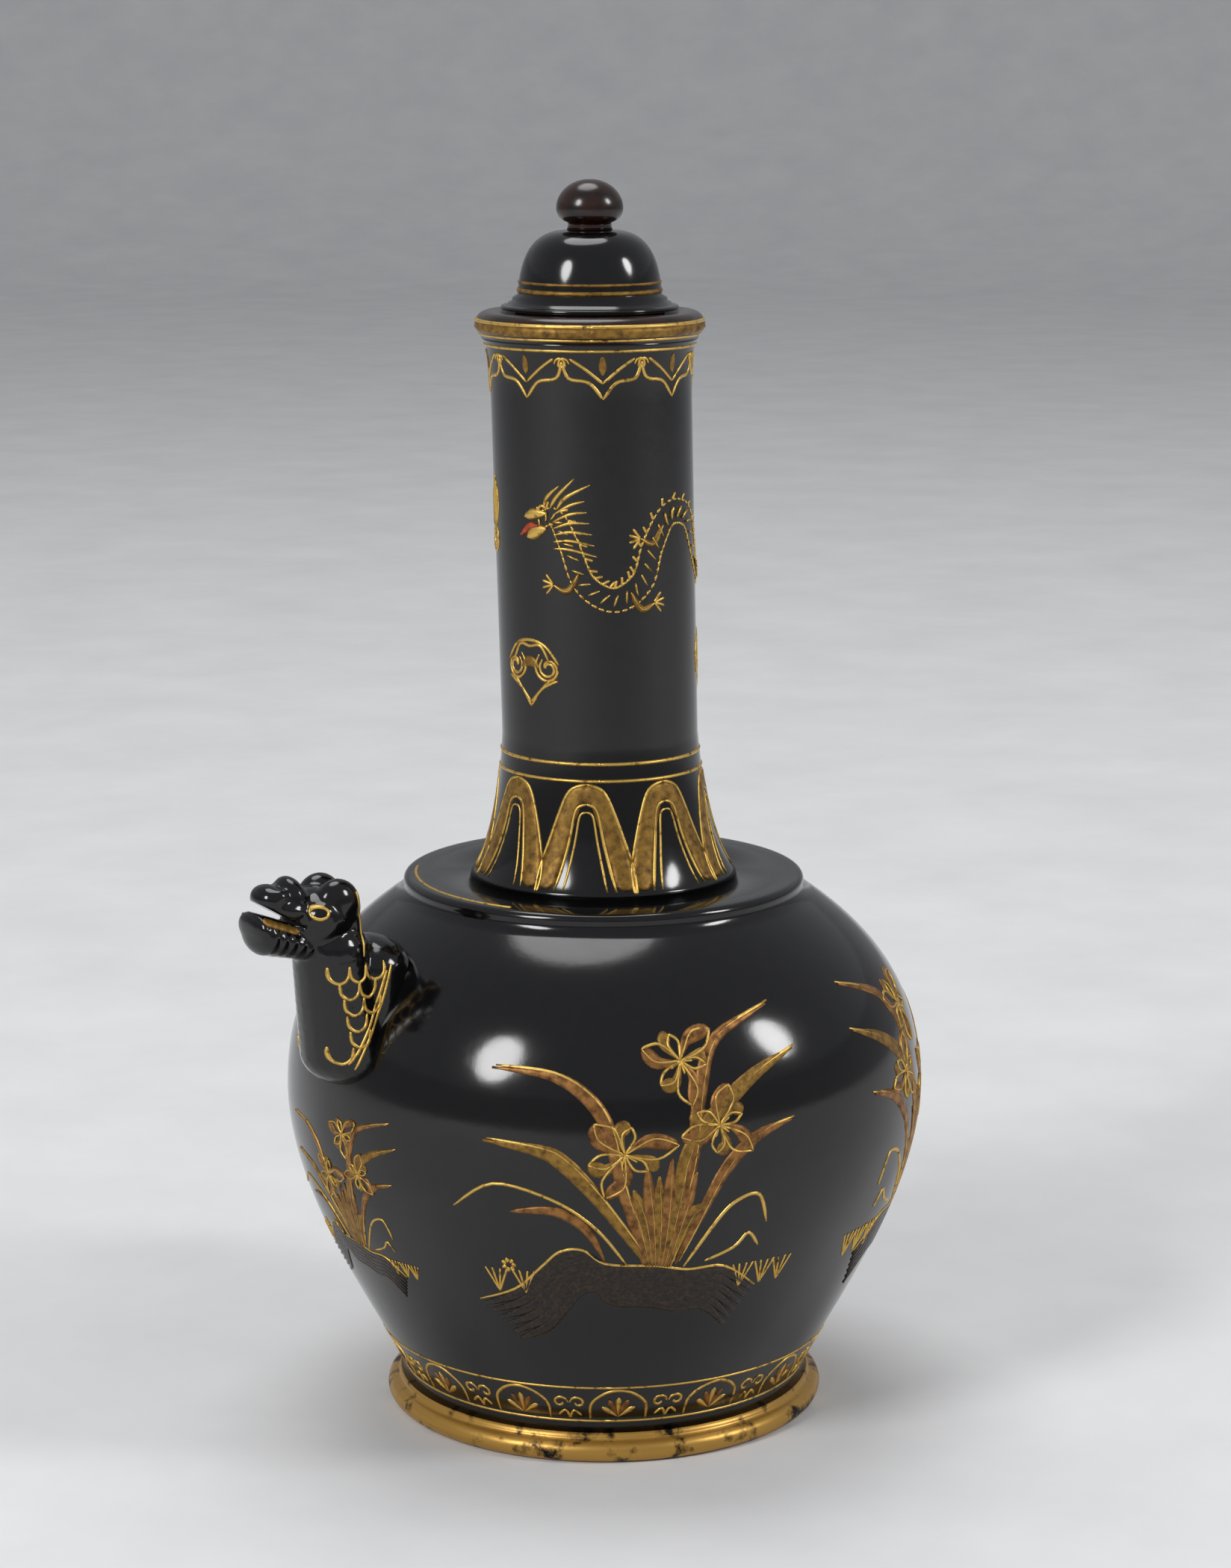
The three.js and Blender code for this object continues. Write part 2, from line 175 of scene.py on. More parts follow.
def turn(name, section, material, body, node, shift=0.0, lean=False):
    bm = bmesh.new()
    verts = [bm.verts.new((r * MM, 0, z * MM)) for r, z in section]
    edges = [bm.edges.new(pair) for pair in zip(verts, verts[1:])]
    if section[0][0] > 0.01:
        edges.append(bm.edges.new((verts[-1], verts[0])))
    bmesh.ops.spin(bm, geom=verts + edges, axis=(0, 0, 1), cent=(0, 0, 0), steps=SPIN_STEPS,
                   angle=math.tau, use_merge=True)
    bmesh.ops.remove_doubles(bm, verts=bm.verts, dist=1e-6)
    bmesh.ops.dissolve_degenerate(bm, edges=bm.edges, dist=1e-7)
    bmesh.ops.recalc_face_normals(bm, faces=bm.faces)
    for vert in bm.verts:
        vert.co.x += shift * MM
        if lean:
            vert.co.x -= LEAN * (vert.co.z - SHOULDER_Z * MM)
    return keep(bm, name, [material], body, (node,))


def offset(line, grow):
    moved = []
    for i, (r, z) in enumerate(line):
        r0, z0 = line[max(i - 1, 0)]
        r1, z1 = line[min(i + 1, len(line) - 1)]
        size = math.hypot(r1 - r0, z1 - z0) or 1
        moved.append((r + (z1 - z0) / size * grow, z - (r1 - r0) / size * grow))
    return moved


def rounded(r, z, size, start, end, steps=5):
    """An arc of a corner, from one angle to another in degrees."""
    angles = [math.radians(start + (end - start) * i / steps) for i in range(steps + 1)]
    return [(r + size * math.cos(a), z + size * math.sin(a)) for a in angles]


inner = [p for p in offset(belly_line, -WALL) if WAIST_Z + 1 < p[1] < SHOULDER_Z - WALL - 1]
belly = turn("glazed_belly", [(0, 0.8), (FOOT_BORE - 0.4, 0.8), (FOOT_BORE - 0.4, FOOT_HEIGHT),
                              (WAIST_RADIUS + 0.6, FOOT_HEIGHT)] + belly_line
             + rounded(LEDGE_RADIUS - 0.9, SHOULDER_Z - 0.95, 0.95, -20, 90)
             + [(BORE_RADIUS, SHOULDER_Z), (BORE_RADIUS, SHOULDER_Z - WALL)] + inner[::-1]
             + [(WAIST_RADIUS - WALL - 2, 4.2), (0, 4.2)],
             black_glaze, "ewer", "belly")
neck = turn("leaning_neck", [(BORE_RADIUS, SHOULDER_Z)] + neck_line + [(BORE_RADIUS, NECK_TOP_Z)],
            black_glaze, "ewer", "neck", lean=True)
lip = turn("mouth_rim", [(BORE_RADIUS, NECK_TOP_Z), (NECK_TOP_RADIUS, NECK_TOP_Z)]
           + rounded(LIP_RADIUS - 1.7, 152.3, 1.7, -55, 90, 10) + [(BORE_RADIUS, LIP_TOP_Z)],
           thin_glaze, "ewer", "mouth_lip", MOUTH_SHIFT)
foot = turn("gilded_foot", [(FOOT_BORE, 0)] + rounded(FOOT_RADIUS - 1.5, 1.5, 1.5, -90, 90, 10)
            + [(WAIST_RADIUS + 0.9, 3.3), (WAIST_RADIUS + 0.7, FOOT_HEIGHT), (FOOT_BORE, FOOT_HEIGHT)],
            worn_gold, "ewer", "foot_ring")

LID_BASE = LIP_TOP_Z + 0.2
DOME_BASE, DOME_TOP = LID_BASE + 2.0, LID_BASE + 10.6
dome_line = bezier((9.8, DOME_BASE), (9.5, DOME_BASE + 4.7), (8.0, DOME_TOP), (3.2, DOME_TOP), 16)
dome_inside = bezier((7.8, DOME_BASE), (7.5, DOME_BASE + 4.7), (6.4, DOME_TOP - 2), (3.2, DOME_TOP - 2), 12)
lid = turn("lid_dome", [(7.8, LID_BASE), (12.0, LID_BASE)] + rounded(11.8, LID_BASE + 0.3, 0.3, -60, 90, 4)
           + [(11.2, LID_BASE + 0.7), (11.0, LID_BASE + 1.0), (10.6, LID_BASE + 1.1), (10.5, DOME_BASE - 0.4)]
           + dome_line + [(0, DOME_TOP), (0, DOME_TOP - 2)][:1] + [(0, DOME_TOP - 2)] + dome_inside[::-1]
           + [(7.8, LID_BASE)], black_glaze, "lid", "lid_cover", MOUTH_SHIFT)
bud = bezier((3.0, DOME_TOP + 1.0), (5.9, DOME_TOP + 1.6), (4.6, DOME_TOP + 6.8), (0, DOME_TOP + 6.8), 20)
knop = turn("bud_knop", [(0, DOME_TOP), (3.1, DOME_TOP), (2.95, DOME_TOP + 0.6)] + bud,
            thin_glaze, "lid", "lid_knop", MOUTH_SHIFT)
for name in ("lid_bezel",):
    slots = bpy.data.objects[name].material_slots if name in bpy.data.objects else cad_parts[name].material_slots
    slots[0].material = bare_clay

# %% [markdown]
# The spout was press-moulded as a creature's head. Overlapping rounded masses, fused by a fine voxel remesh
# and smoothed, give soft muscle-like joins that a lathe or an extrusion can't. The jaws are parted by a wedge.

# %% Creature-head spout
def mass(bm, reach, z, y, size, tilt=0.0):
    place = (Matrix.Translation((-reach * MM, y * MM, z * MM)) @ Matrix.Rotation(math.radians(tilt), 4, "Y")
             @ Matrix.Diagonal((size[0] * MM, size[1] * MM, size[2] * MM, 1)))
    bmesh.ops.create_icosphere(bm, subdivisions=3, radius=1.0, matrix=place)


def baked(piece):
    graph = bpy.context.evaluated_depsgraph_get()
    mesh = bpy.data.meshes.new_from_object(piece.evaluated_get(graph))
    piece.modifiers.clear()
    piece.data = mesh
    for polygon in mesh.polygons:
        polygon.use_smooth = True
    return piece


bm = bmesh.new()
THROAT_STEPS = 12
for i in range(THROAT_STEPS + 1):
    t = i / THROAT_STEPS
    mass(bm, 42.0 + 2.6 * t, 56.5 + 14.5 * t, 0, (6.4 - 1.4 * t, 7.0 - 1.2 * t, 4.6))
    mass(bm, 39.4 - 0.8 * t, 58.5 + 9.5 * t, 0, (5.4, 6.8 - 0.6 * t, 4.2))
mass(bm, 46.6, 75.6, 0, (5.0, 5.2, 4.2))
mass(bm, 43.0, 74.0, 0, (2.2, 4.2, 5.4))
mass(bm, 51.2, 77.4, 0, (4.0, 3.7, 1.8), 16)
mass(bm, 50.6, 78.6, 0, (2.0, 3.3, 3.2), -12)
mass(bm, 53.9, 79.0, 0, (2.2, 3.0, 2.0), 20)
for t in (0, 0.25, 0.5, 0.75, 1):
    mass(bm, 49.4 + 5.6 * t, 72.2 + 2.2 * t, 0, (2.4 - 0.4 * t, 3.6 + 0.5 * t, 2.0 + 0.9 * t))
mass(bm, 56.1, 75.4, 0, (1.0, 3.8, 2.2))
for side in (-1, 1):
    mass(bm, 44.7, 77.5, side * 2.3, (3.3, 2.5, 3.5))
    mass(bm, 47.4, 76.4, side * 3.4, (2.4, 1.7, 2.0))
    mass(bm, 53.2, 79.4, side * 1.8, (1.5, 1.2, 1.2))
head = keep(bm, "creature_head_spout", [black_glaze], "ewer", ("spout_throat", "spout_head"))

jaws = bmesh.new()
bmesh.ops.create_cube(jaws, size=1.0)
for vert in jaws.verts:
    outer = vert.co.x < 0
    vert.co.y *= 24 * MM
    level = (82.4 if vert.co.z > 0 else 79.8) if outer else 75.3
    vert.co.z = (level + (0.15 if vert.co.z > 0 else -0.15)) * MM
    vert.co.x = (-62 if outer else -50.2) * MM
bmesh.ops.recalc_face_normals(jaws, faces=jaws.faces)
wedge = bpy.data.meshes.new("jaw_wedge")
jaws.to_mesh(wedge)
jaws.free()
cutter = bpy.data.objects.new("jaw_wedge", wedge)
bpy.context.scene.collection.objects.link(cutter)
remesh = head.modifiers.new("fuse", "REMESH")
remesh.mode = "VOXEL"
remesh.voxel_size = 0.00032
baked(head)
cut = head.modifiers.new("jaws", "BOOLEAN")
cut.object = cutter
cut.operation = "DIFFERENCE"
cut.solver = "EXACT"
baked(head)
soft = head.modifiers.new("soften", "SMOOTH")
soft.iterations = 4
soft.factor = 0.5
baked(head)
head.data.materials.clear()
head.data.materials.append(black_glaze)
bpy.data.objects.remove(cutter)
print("head", len(head.data.polygons), "faces")

# %% [markdown]
# The gilding is a thin raised layer brushed over the glaze. Each stroke is a narrow grid bent onto the wall:
# its middle stands 0.12 mm proud and its edges sink in, so it catches light as brushed gold does.
# Strokes are drawn in millimetres on the unrolled wall: along it, and up from the table.

# %% Brush strokes on the wall
RELIEF = 0.13


def on_wall(angle, z, lift):
    line = belly_line if z < SHOULDER_Z - LEDGE_DEPTH else neck_line
    radius = (radius_at(line, z) + lift) * MM
    turned = VIEW_AZIMUTH + math.radians(angle)
    shift = LEAN * max(z - SHOULDER_Z, 0) * MM
    return Vector((radius * math.sin(turned) - shift, -radius * math.cos(turned), z * MM))


def wall(centre, round_radius):
    """A place function for a motif centred at an angle, on a wall of about this radius."""
    return lambda s, z, lift: on_wall(centre + math.degrees(s / round_radius), z, lift)


def along(points, t):
    """A point on the smooth curve through the points."""
    span = len(points) - 1
    i = min(int(t * span), span - 1)
    u = t * span - i
    p = [points[max(i - 1, 0)], points[i], points[i + 1], points[min(i + 2, span)]]
    return tuple(0.5 * (2 * p[1][k] + (p[2][k] - p[0][k]) * u
                        + (2 * p[0][k] - 5 * p[1][k] + 4 * p[2][k] - p[3][k]) * u * u
                        + (3 * p[1][k] - p[0][k] - 3 * p[2][k] + p[3][k]) * u ** 3) for k in (0, 1))


def stroke(bm, place, points, width=0.45, shape="line", material=0, steps=None, relief=RELIEF):
    steps = steps or max(6, 5 * (len(points) - 1))
    across = 4 if width > 0.8 else 2
    made = bmesh.ops.create_grid(bm, x_segments=steps, y_segments=across, size=1.0)
    for vert in made["verts"]:
        t = (vert.co.x + 1) / 2
        v = vert.co.y
        s, z = along(points, t)
        s0, z0 = along(points, max(t - 0.02, 0))
        s1, z1 = along(points, min(t + 0.02, 1))
        size = math.hypot(s1 - s0, z1 - z0) or 1
        swell = {"line": min(1, 0.35 + 6 * t, 0.35 + 6 * (1 - t)),
                 "leaf": 0.12 + 0.88 * math.sin(math.pi * min(1, t * 1.05)) ** 0.8,
                 "drop": 0.1 + 0.9 * math.sin(math.pi * t ** 1.8) ** 0.8}[shape]
        half = width / 2 * max(swell, 0.1)
        vert.co = place(s - (z1 - z0) / size * half * v, z + (s1 - s0) / size * half * v,
                        relief * (1 - v * v) - 0.03)
    faces = {face for vert in made["verts"] for face in vert.link_faces}
    for face in faces:
        face.material_index = material


def gilt(name, draw, body="ewer"):
    bm = bmesh.new()
    draw(bm)
    bmesh.ops.recalc_face_normals(bm, faces=bm.faces)
    piece = keep(bm, name, [gold, copper_gold, brown_gold, iron_red, mound_brown], body)
    skin = piece.modifiers.new("thickness", "SOLIDIFY")
    skin.thickness = 0.00012
    skin.offset = 0
    return piece


def ring(bm, z, width, place=on_wall, material=0, start=0, end=360, steps=144):
    made = bmesh.ops.create_grid(bm, x_segments=steps, y_segments=2, size=1.0)
    for vert in made["verts"]:
        angle = start + (end - start) * (vert.co.x + 1) / 2
        v = vert.co.y
        vert.co = place(angle, z + v * width / 2, RELIEF * (1 - v * v) - 0.03)
    for face in {face for vert in made["verts"] for face in vert.link_faces}:
        face.material_index = material


def mirrored(points, centre=0.0):
    return [(2 * centre - s, z) for s, z in points]


def spiral(s, z, size, turns=1.2, hand=1, start=0.0):
    return [(s + hand * size * (1 - 0.75 * i / 10) * math.cos(start + math.tau * turns * i / 10),
             z + size * (1 - 0.75 * i / 10) * math.sin(start + math.tau * turns * i / 10)) for i in range(11)]


# %% [markdown]
# Round the belly, clumps of iris grow from a rock mound. One clump is drawn once, from its leaves, flowers,
# fan and mound, and repeated with small changes of lean, because the real one was painted freehand.

# %% Iris clumps
def iris_flower(bm, place, s, z, size, tilt):
    for k, length in enumerate((1.15, 0.7, 1.0, 0.8, 1.2, 0.65)):
        a = math.radians(tilt + 60 * k + 9 * (k % 2))
        tip = (s + size * length * math.cos(a), z + size * length * 0.85 * math.sin(a))
        bend = (s + size * 0.55 * math.cos(a + 0.4), z + size * 0.5 * math.sin(a + 0.4))
        stroke(bm, place, [(s, z), bend, tip], size * 0.34, "drop", 2 if k % 2 else 1)
        for hand in (-1, 1):
            edge = (s + size * length * 0.6 * math.cos(a + hand * 0.34),
                    z + size * length * 0.58 * math.sin(a + hand * 0.34))
            stroke(bm, place, [(s, z), edge, tip], 0.34, relief=RELIEF * 1.6)
    for k in range(5):
        a = math.radians(tilt + 30 + 72 * k)
        stroke(bm, place, [(s, z), (s + size * 0.3 * math.cos(a), z + size * 0.3 * math.sin(a))], 0.3)


def iris_clump(place, flip):
    def draw(bm):
        def put(points, width=0.5, shape="line", material=0):
            stroke(bm, place, mirrored(points) if flip else points, width, shape, material)

        long_leaves = (
            ([(-0.7, 32), (-4, 42), (-6, 51), (-9, 55.5), (-14, 58), (-22, 58.5)], 1.3),
            ([(-0.7, 32), (-7.5, 42), (-12, 46.9), (-15.4, 48.4), (-22.5, 49.2)], 1.5),
            ([(1.5, 32), (4.6, 46), (6.2, 56), (9.5, 62), (19, 65)], 1.3),
            ([(2.5, 32), (3.6, 46), (8, 52.5), (14, 57), (21, 59.5)], 1.6),
            ([(3.2, 32), (8.5, 44), (13.5, 49), (19, 50.6)], 1.2),
        )
        for k, (points, width) in enumerate(long_leaves):
            put(points, width * 1.5, "leaf", 1 + k % 2)
            shifted = [(s + 0.5, z + 0.35) for s, z in points]
            put(shifted, 0.36)
        put([(-3.5, 32), (-7.9, 37.8), (-13.7, 41.8), (-21.2, 43.4), (-27, 39.6)], 0.42)
        put([(4.4, 31.4), (8.5, 38), (11.2, 40.6), (14.3, 41), (15.9, 36.8)], 0.5)
        put([(7.4, 32), (11.5, 33.6), (13.4, 35.5), (15.2, 33.4)], 0.45)
        put([(-19, 39.7), (-13, 40), (-9, 37.5), (-6.5, 32.6)], 1.5, "leaf", 1)
        for k in range(8):
            lean = -5.5 + 11.5 * k / 7
            top = 47.5 - 0.12 * lean * lean - (2.5 if k % 2 else 0)
            put([(0.6 + lean * 0.25, 31.5), (0.8 + lean * 0.6, 38.5), (1 + lean, top)], 2.1, "leaf", 1 + k % 2)
            put([(1.0 + lean * 0.25, 31.5), (1.2 + lean * 0.6, 38.5), (1 + lean, top)], 0.26)
        for s, z, size, tilt in ((-4, 48, 6.2, 10), (3.8, 59.6, 5.6, 40), (8.5, 51.2, 5.4, 75)):
            iris_flower(bm, place, -s if flip else s, z, size, tilt)
        mound = [(-25.6, 25.4), (-19.5, 27.8), (-15.3, 31.6), (-12.7, 34), (-9.6, 34.4), (-6.5, 32.3),
                 (0.3, 31.8), (5, 30.9), (10.5, 30.8), (16.3, 27)]
        put(mound, 0.42)
        for layer in range(6):
            drop = 0.7 + 1.05 * layer
            narrow = 1 - drop * 0.035
            put([(s * narrow, z - drop) for s, z in mound], 1.5, "line", 4)
        for s in (-22, -18, 13.5, 17, 20):
            for lean in (-1.6, -0.6, 0.6, 1.6):
                put([(s, 27.2), (s + lean * 0.5, 29), (s + lean, 30.8)], 0.3)
        for k in range(7):
            a = math.tau * k / 7
            put([(-20 + 0.4 * math.cos(a), 31.5 + 0.4 * math.sin(a)),
                 (-20 + 1.1 * math.cos(a), 31.5 + 1.1 * math.sin(a))], 0.6, "leaf")
    return draw


CLUMPS, FIRST_CLUMP = 5, 9.0
LOW_BASE_Z, LOW_SCALE = 25.0, 0.6


def below_spout(s, z, lift):
    """The clump under the spout is drawn low and small, clear of the throat."""
    return wall(SPOUT_ANGLE, 43.5)(s * LOW_SCALE, LOW_BASE_Z + (z - LOW_BASE_Z) * LOW_SCALE, lift)


for k in range(CLUMPS):
    place = below_spout if k == CLUMPS - 1 else wall(FIRST_CLUMP + 360 / CLUMPS * k, 43.5)
    gilt(f"gilt_iris_clump_{k + 1}", iris_clump(place, k % 2 == 1))

# %% [markdown]
# The neck carries bands of border ornament: a lotus-petal collar at its foot, clouds, a dragon after a
# flaming pearl, and a lappet border under the rim. Borders repeat a count that closes the ring.

# %% Neck ornament
PETALS, LAPPETS = 8, 8
CLOUD_ANGLES = (-42, 98, 218)


def collar(bm):
    for z, width in ((93.7, 0.45), (91.4, 0.4)):
        ring(bm, z, width)
    for k in range(PETALS):
        place = wall(-8 + 360 / PETALS * k, 15.0)
        side = math.pi * 15.0 / PETALS
        for hand in (-1, 1):
            half = hand * side
            stroke(bm, place, [(-half * 0.1, 89.5), (half * 0.28, 89.1), (half * 0.55, 85), (half * 0.76, 80),
                               (half * 0.84, 77)], 2.8, "line", 2)
            stroke(bm, place, [(0, 91), (half * 0.42, 90), (half * 0.7, 86.5), (half, 80.6)], 0.42)
            stroke(bm, place, [(half, 80.6), (half * 0.96, 78.4), (half * 0.98, 76.5)], 0.34)
            stroke(bm, place, [(0, 88.3), (half * 0.26, 87.4), (half * 0.4, 83), (half * 0.62, 76.8)], 0.42)
            stroke(bm, place, [(0, 87.2), (half * 0.16, 86.6), (half * 0.26, 83), (half * 0.44, 76.8)], 0.28)


def lappets(bm):
    ring(bm, 149.6, 0.35)
    for k in range(LAPPETS):
        place = wall(7 + 360 / LAPPETS * k, 13.8)
        side = math.pi * 13.8 / LAPPETS
        for hand in (-1, 1):
            stroke(bm, place, [(hand * side, 148.2), (hand * side * 0.84, 146.0), (hand * side * 0.34, 145.4),
                               (0, 143.2)], 0.45)
            stroke(bm, place, [(hand * side * 0.8, 148.6), (hand * side * 0.42, 147.2), (0, 145.3)], 0.4)
            stroke(bm, place, spiral(hand * side * 0.97, 147.9, 0.85, 1.1, -hand), 0.34)
        stroke(bm, place, [(0, 148.9), (0, 147.5), (0, 146.4)], 1.0, "leaf", 2)


def cloud(place):
    def draw(bm):
        for size, z in ((2.3, 106.6), (1.5, 106.6)):
            stroke(bm, place, spiral(-3.0, z, size, 1.15, -1, 2.2), 0.42)
            stroke(bm, place, spiral(3.0, z, size, 1.15, 1, 2.2), 0.42)
        for grow in (1.0, 0.72):
            stroke(bm, place, [(-4.6 * grow, 107.2), (-2.6 * grow, 109.6), (0, 110.3 - (1 - grow) * 3),
                               (2.6 * grow, 109.6), (4.6 * grow, 107.2)], 0.42)
            stroke(bm, place, [(-4.4 * grow, 105), (-1.8, 103.6), (0, 101.2 + (1 - grow) * 2)], 0.42)
            stroke(bm, place, [(4.4 * grow, 105), (1.8, 103.6), (0, 101.2 + (1 - grow) * 2)], 0.42)
        stroke(bm, place, [(-1.6, 106.5), (0, 107.4), (1.6, 106.5)], 1.5, "leaf", 2)
    return draw


def dragon(bm):
    place = wall(0, 13.6)
    spine = [(-8.2, 126.2), (-5.4, 127.4), (-3.4, 123.6), (-1.4, 118.4), (2.6, 116.2), (6.6, 118.6), (8.4, 123.4),
             (11.4, 127.4), (15.8, 126.6), (18.8, 121.4), (22.6, 117.6), (27.2, 119.2), (30.8, 123.8)]
    for hand in (-1, 1):
        for k in range(70):
            t0, t1 = k / 70, (k + 1) / 70
            (sa, za), (sb, zb) = along(spine, t0), along(spine, t1)
            size = math.hypot(sb - sa, zb - za) or 1
            reach = 1.7 * (0.25 + 0.75 * math.sin(math.pi * (t0 * 0.9 + 0.08)) ** 0.7)
            out = (-(zb - za) / size * hand, (sb - sa) / size * hand)
            start = (sa + out[0] * reach, za + out[1] * reach)
            end = (sb + out[0] * reach, zb + out[1] * reach)
            stroke(bm, place, [start, end], 0.36, steps=2)
            if hand > 0 and k % 2 == 0:
                spike = (start[0] + out[0] * 0.9 + (sb - sa) / size * 0.6,
                         start[1] + out[1] * 0.9 + (zb - za) / size * 0.6)
                stroke(bm, place, [start, spike], 0.34)
            if hand > 0 and k % 2:
                stroke(bm, place, [(sa - out[0] * reach * 0.5, za - out[1] * reach * 0.5),
                                   (sb + out[0] * reach * 0.4, zb + out[1] * reach * 0.4)], 0.26, steps=3,
                       relief=RELIEF * 2.4)
    stroke(bm, place, [(-9.6, 124.4), (-8.4, 125.2), (-6.6, 125.8)], 1.9, "leaf", 0, relief=RELIEF * 2)
    stroke(bm, place, [(-10, 127.2), (-8.6, 127.6), (-6.4, 127.8)], 1.5, "leaf", 0, relief=RELIEF * 2)
    stroke(bm, place, [(-10.8, 124.6), (-9.2, 125.9), (-7.8, 126)], 1.0, "leaf", 3, relief=RELIEF * 2.4)
    stroke(bm, place, spiral(-7.3, 128.2, 0.7, 1.0), 0.36)
    for k, top in enumerate((131.6, 132.6, 131.8)):
        stroke(bm, place, [(-7 + k, 128.4), (-6.4 + k * 1.3, 130), (-4.6 + k * 2.1, top)], 0.5, "leaf")
    for k in range(6):
        stroke(bm, place, [(-5.6, 127.6 - k * 0.9), (-3.2, 129 - k * 1.2), (-1.2 + 0.3 * k, 129.6 - k * 1.5)],
               0.42, "leaf")
    for s, z, hand in ((-2.2, 119.8, -1), (4.8, 117.2, 1), (10, 126, -1), (19.8, 120.2, 1)):
        knee = (s + hand * 1.6, z - 2.4)
        ankle = (s + hand * 3.6, z - 1.6)
        stroke(bm, place, [(s, z), knee, ankle], 0.95, "leaf", 2, relief=RELIEF * 1.8)
        stroke(bm, place, [(s, z), knee, ankle], 0.3, relief=RELIEF * 2.4)
        for fan in (-0.9, -0.3, 0.3, 0.9):
            claw = (ankle[0] + hand * 1.7 * math.cos(fan), ankle[1] + 1.7 * math.sin(fan))
            stroke(bm, place, [ankle, claw], 0.34)
    for k in range(5):
        stroke(bm, place, [(30.2, 123), (31.4, 124.4 + k * 0.4), (31 + 0.9 * k, 127.4 - k * 0.8)], 0.42, "leaf")
    pearl = wall(-80, 13.6)
    for size in (1.7, 1.1):
        stroke(bm, pearl, [(size * math.cos(a), 123.2 + size * math.sin(a))
                           for a in (math.tau * i / 12 for i in range(13))], 0.4)
    for k in range(5):
        lean = -1.6 + 0.8 * k
        stroke(bm, pearl, [(lean * 0.6, 125), (lean * 1.2, 128), (lean * 0.5 + 0.8, 132 - abs(lean))], 0.5, "leaf")


gilt("gilt_petal_collar", collar)
gilt("gilt_lappet_border", lappets)
for k, angle in enumerate(CLOUD_ANGLES):
    gilt(f"gilt_cloud_{k + 1}", cloud(wall(angle, 13.6)))
gilt("gilt_dragon_and_pearl", dragon)

# %% [markdown]
# Small borders finish the edges: palmettes over the foot, a double line on the shoulder's ledge, bands on the
# rim and at the base of the lid's dome. Lines on flat or rounded edges take their place from that edge.

# %% Foot, ledge, rim and lid lines
PALMETTES = 14


def foot_border(bm):
    ring(bm, 5.4, 0.4)
    ring(bm, 11.3, 0.3)
    for k in range(PALMETTES):
        place = wall(4 + 360 / PALMETTES * k, 30.0)
        side = math.pi * 30.0 / PALMETTES
        stroke(bm, place, [(-3.9, 5.8), (-3.7, 8.4), (-2, 10.2), (0, 10.8), (2, 10.2), (3.7, 8.4), (3.9, 5.8)], 0.42)
        for k2 in range(5):
            a = math.radians(30 + 30 * k2)
            stroke(bm, place, [(0, 6.2), (2.6 * math.cos(a), 6.2 + 3.4 * math.sin(a))], 0.8, "drop", k2 % 2)
        for hand in (-1, 1):
            stroke(bm, place, spiral(hand * (side - 1.2), 8.6, 1.1, 1.0, hand), 0.36)
            stroke(bm, place, [(hand * side, 6), (hand * (side - 0.6), 7.2), (hand * (side - 1.6), 6.4)], 0.36)


def edge_lines(bm):
    def ledge(angle, across, lift):
        turned = VIEW_AZIMUTH + math.radians(angle)
        radius = across * MM
        return Vector((radius * math.sin(turned), -radius * math.cos(turned), (SHOULDER_Z + lift) * MM))

    ring(bm, 26.2, 0.4, ledge, 0, -95, -28)

    def rim(angle, z, lift):
        turned = VIEW_AZIMUTH + math.radians(angle)
        radius = (LIP_RADIUS - 1.7 + math.sqrt(max(1.7 ** 2 - (z - 152.3) ** 2, 0)) + lift) * MM
        return Vector((radius * math.sin(turned) + MOUTH_SHIFT * MM, -radius * math.cos(turned), z * MM))

    ring(bm, 151.9, 1.9, rim, 2)
    ring(bm, 152.9, 0.4, rim)
    ring(bm, 151.0, 0.35, rim)


def dome_lines(bm):
    def dome(angle, z, lift):
        turned = VIEW_AZIMUTH + math.radians(angle)
        radius = (radius_at(dome_line, z) + lift) * MM
        return Vector((radius * math.sin(turned) + MOUTH_SHIFT * MM, -radius * math.cos(turned), z * MM))

    ring(bm, DOME_BASE + 0.6, 0.6, dome, 2)
    ring(bm, DOME_BASE + 1.7, 0.35, dome, 2)


gilt("gilt_foot_border", foot_border)
gilt("gilt_ledge_and_rim_lines", edge_lines)
gilt("gilt_lid_lines", dome_lines, "lid")

# %% [markdown]
# The throat is painted with fish scales inside a double line, and the head with a gold eye, brow and jaw.
# Those strokes are thrown sideways onto the modelled head and belly, on both sides alike.

# %% Gold on the spout
solids = bmesh.new()
for source in (head, belly):
    solids.from_mesh(source.data)
surface = BVHTree.FromBMesh(solids)
solids.free()


def beside(side):
    def place(reach, z, lift):
        start = Vector((-reach * MM, side * 40 * MM, z * MM))
        hit, normal, _, _ = surface.ray_cast(start, Vector((0, -side, 0)))
        if hit is None or hit.y * side < 0:
            return Vector((-reach * MM, 0, z * MM))
        if normal.y * side < 0:
            normal = -normal
        return hit + normal * lift * MM
    return place


def scales(bm):
    for side in (-1, 1):
        place = beside(side)
        for inset in (0, 0.75):
            stroke(bm, place, [(38.6 + inset, 69.2 - inset), (40.4 + inset, 63.8), (43.2 + inset, 58.4),
                               (44.6 + inset, 55.6 + inset)], 0.4, steps=40)
        for row in range(6):
            z = 68.6 - row * 2.2
            left = 39.4 + max(0, 66.0 - z) * 0.46
            for k in range(4):
                s = left + 1.5 + (k + 0.5 * (row % 2)) * 2.7
                if s > 46.4:
                    continue
                stroke(bm, place, [(s - 1.35, z + 1.1), (s - 1.1, z - 0.5), (s, z - 1.2), (s + 1.1, z - 0.5),
                                   (s + 1.35, z + 1.1)], 0.42, steps=16)


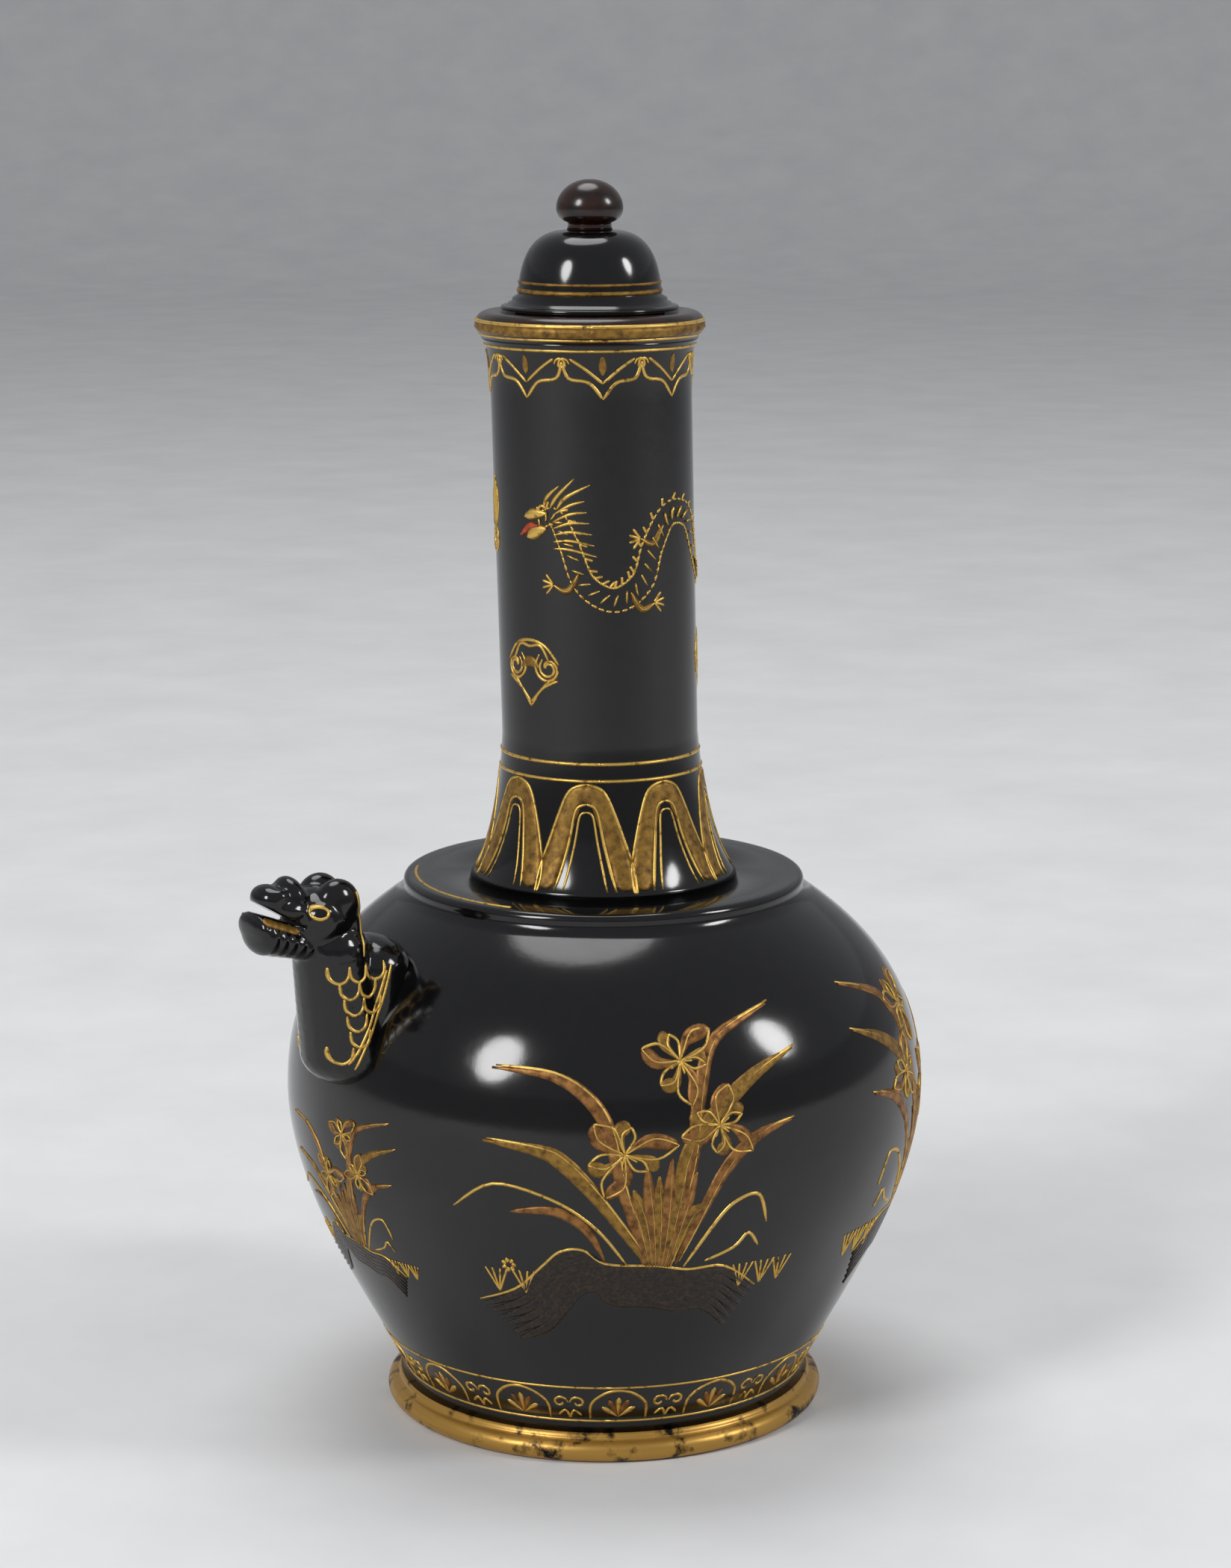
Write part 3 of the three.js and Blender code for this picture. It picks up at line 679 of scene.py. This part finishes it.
def face_lines(bm):
    for side in (-1, 1):
        place = beside(side)
        stroke(bm, place, [(48.6 + 1.1 * math.cos(a), 77.2 + 0.8 * math.sin(a))
                           for a in (math.tau * i / 12 for i in range(13))], 0.4, steps=36)
        stroke(bm, place, [(50.8, 74.6), (53.2, 75.6), (56.2, 76.8)], 0.9, "line", 2, steps=24)
        stroke(bm, place, [(42.6, 79.2), (41.8, 75), (42.4, 70.6)], 0.36, steps=24)


gilt("gilt_throat_scales", scales)
gilt("gilt_face_lines", face_lines)

# %% [markdown]
# The ewer stands on a plain pale sheet under two broad soft lights, which draw the long highlights that show
# a glossy curved glaze. The camera has the photograph's place: 517 mm away and 193 mm up, looking down 11.4 degrees.

# %% Floor, light and camera
SHEET_RADIUS, SHEET_CURVE = 2.2, 0.8
bm = bmesh.new()
curve = [(SHEET_RADIUS + SHEET_CURVE * math.sin(a), SHEET_CURVE * (1 - math.cos(a)))
         for a in (math.radians(7.5 * i) for i in range(13))]
verts = [bm.verts.new((r, 0, z)) for r, z in [(0, 0), (0.6, 0)] + curve]
edges = [bm.edges.new(pair) for pair in zip(verts, verts[1:])]
bmesh.ops.spin(bm, geom=verts + edges, axis=(0, 0, 1), cent=(0, 0, 0), steps=96, angle=math.tau, use_merge=True)
bmesh.ops.remove_doubles(bm, verts=bm.verts, dist=1e-5)
bmesh.ops.recalc_face_normals(bm, faces=bm.faces)
for face in bm.faces:
    face.smooth = True
mesh = bpy.data.meshes.new("pale_sheet")
bm.to_mesh(mesh)
bm.free()
floor = bpy.data.objects.new("pale_sheet", mesh)
bpy.context.scene.collection.objects.link(floor)
mesh.materials.append(finish("pale_paper", "#CFCFD0", "#D8D8D8", 40.0, 0.3, 0.7, 0.9, 0.0, 0.0))


def soft_light(name, place, size, power):
    light = bpy.data.lights.new(name, "AREA")
    light.shape = "ELLIPSE"
    light.size, light.size_y = size
    light.energy = power
    lamp = bpy.data.objects.new(name, light)
    bpy.context.scene.collection.objects.link(lamp)
    lamp.location = place
    lamp.rotation_euler = (Vector((0, 0, 0.08)) - Vector(place)).to_track_quat("-Z", "Y").to_euler()


soft_light("left_softbox", (-1.1, -0.25, 0.75), (0.35, 0.6), 9)
soft_light("right_softbox", (0.75, -0.95, 0.8), (0.3, 0.5), 7)
soft_light("top_softbox", (0.1, 0.3, 1.3), (0.8, 0.8), 7)

world = bpy.data.worlds.new("pale_room")
bpy.context.scene.world = world
world.use_nodes = True
tree = world.node_tree
tree.nodes["Background"].inputs["Color"].default_value = linear("#D6D8DC")
tree.nodes["Background"].inputs["Strength"].default_value = 0.55
backdrop = add_node(tree, "ShaderNodeBackground", values={"Color": linear("#D2D2D4"), "Strength": 1.0})
ray = add_node(tree, "ShaderNodeLightPath")
either = add_node(tree, "ShaderNodeMixShader", links={"Fac": ray.outputs["Is Camera Ray"]})
tree.links.new(tree.nodes["Background"].outputs[0], either.inputs[1])
tree.links.new(backdrop.outputs[0], either.inputs[2])
tree.links.new(either.outputs[0], tree.nodes["World Output"].inputs["Surface"])

CAMERA_DISTANCE, CAMERA_HEIGHT, CAMERA_SIDE = 517.2, 192.6, 1.67
PITCH = math.radians(11.41)
camera_data = bpy.data.cameras.new("photograph_view")
camera_data.sensor_fit = "VERTICAL"
camera_data.sensor_height = 36.0
camera_data.lens = 86.95
camera = bpy.data.objects.new("photograph_view", camera_data)
bpy.context.scene.collection.objects.link(camera)
sine, cosine = math.sin(VIEW_AZIMUTH), math.cos(VIEW_AZIMUTH)
camera.location = ((CAMERA_DISTANCE * sine + CAMERA_SIDE * cosine) * MM,
                   (-CAMERA_DISTANCE * cosine + CAMERA_SIDE * sine) * MM, CAMERA_HEIGHT * MM)
camera.rotation_euler = (math.pi / 2 - PITCH, 0, VIEW_AZIMUTH)
bpy.context.scene.camera = camera
bpy.context.scene.view_settings.view_transform = "Standard"
